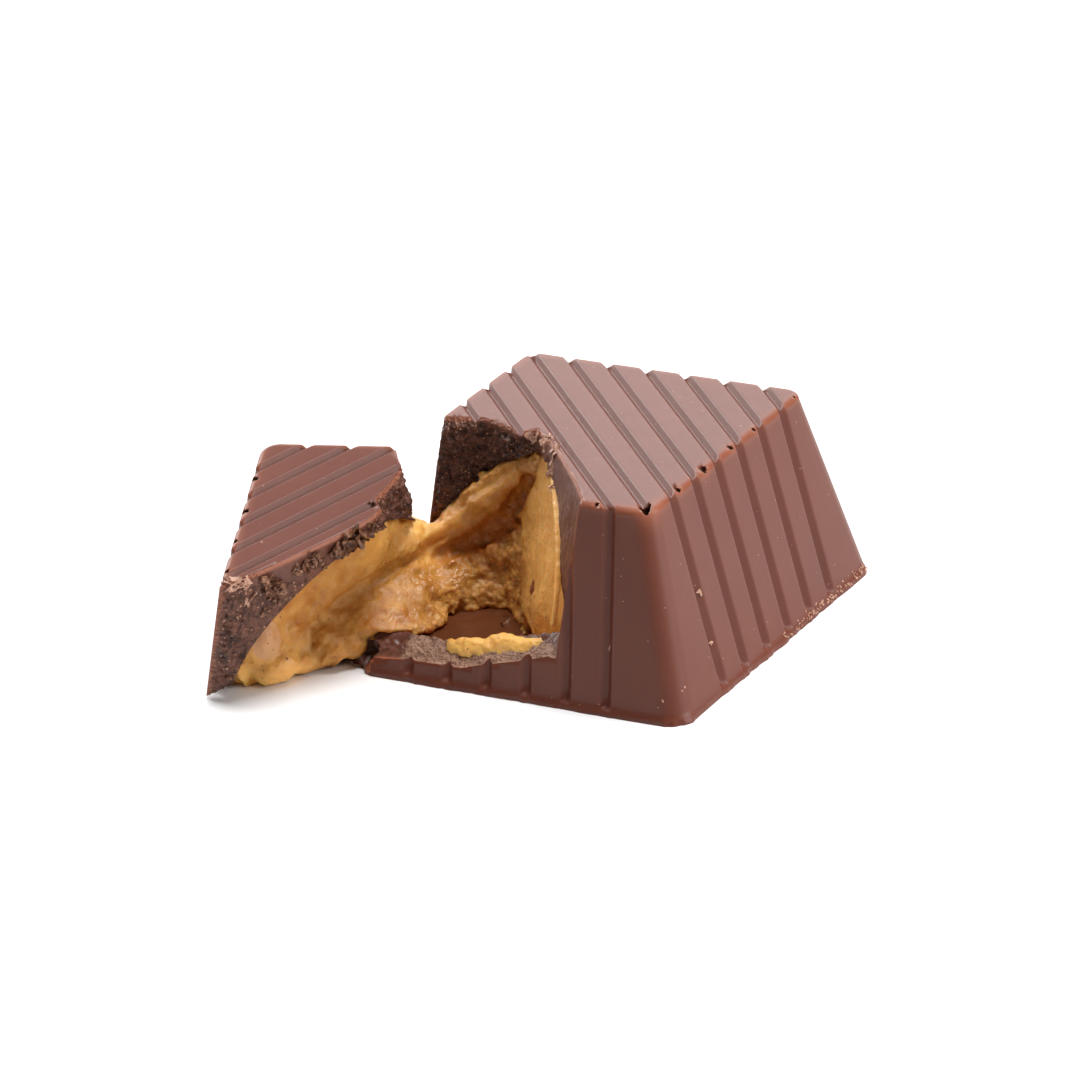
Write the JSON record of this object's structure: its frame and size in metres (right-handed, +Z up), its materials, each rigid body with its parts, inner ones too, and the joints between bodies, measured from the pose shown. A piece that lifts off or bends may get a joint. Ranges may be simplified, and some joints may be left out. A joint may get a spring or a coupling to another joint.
{
  "type": "peanut butter chocolate",
  "caption": "Moulded milk-chocolate praline with diagonal grooves, one corner broken off and still joined to it by stretched peanut filling.",
  "frame": {"origin": "centre of the block's square base, on the surface that it rests on", "axes": "+Z up through the grooved top; the broken corner lies towards -X and -Y; the grooves on top run along the diagonal from +X -Y to -X +Y"},
  "size_m": [0.0439, 0.039, 0.0154],
  "materials": {
    "milk_chocolate": "moulded milk chocolate, satin, dull and grainy where it is broken",
    "peanut_filling": "soft peanut filling, golden tan, granular where torn and wet where smeared"
  },
  "bodies": {
    "root": {"shell_block": "milk_chocolate", "filling": "peanut_filling", "shell_corner": "milk_chocolate"}
  },
  "joints": []
}
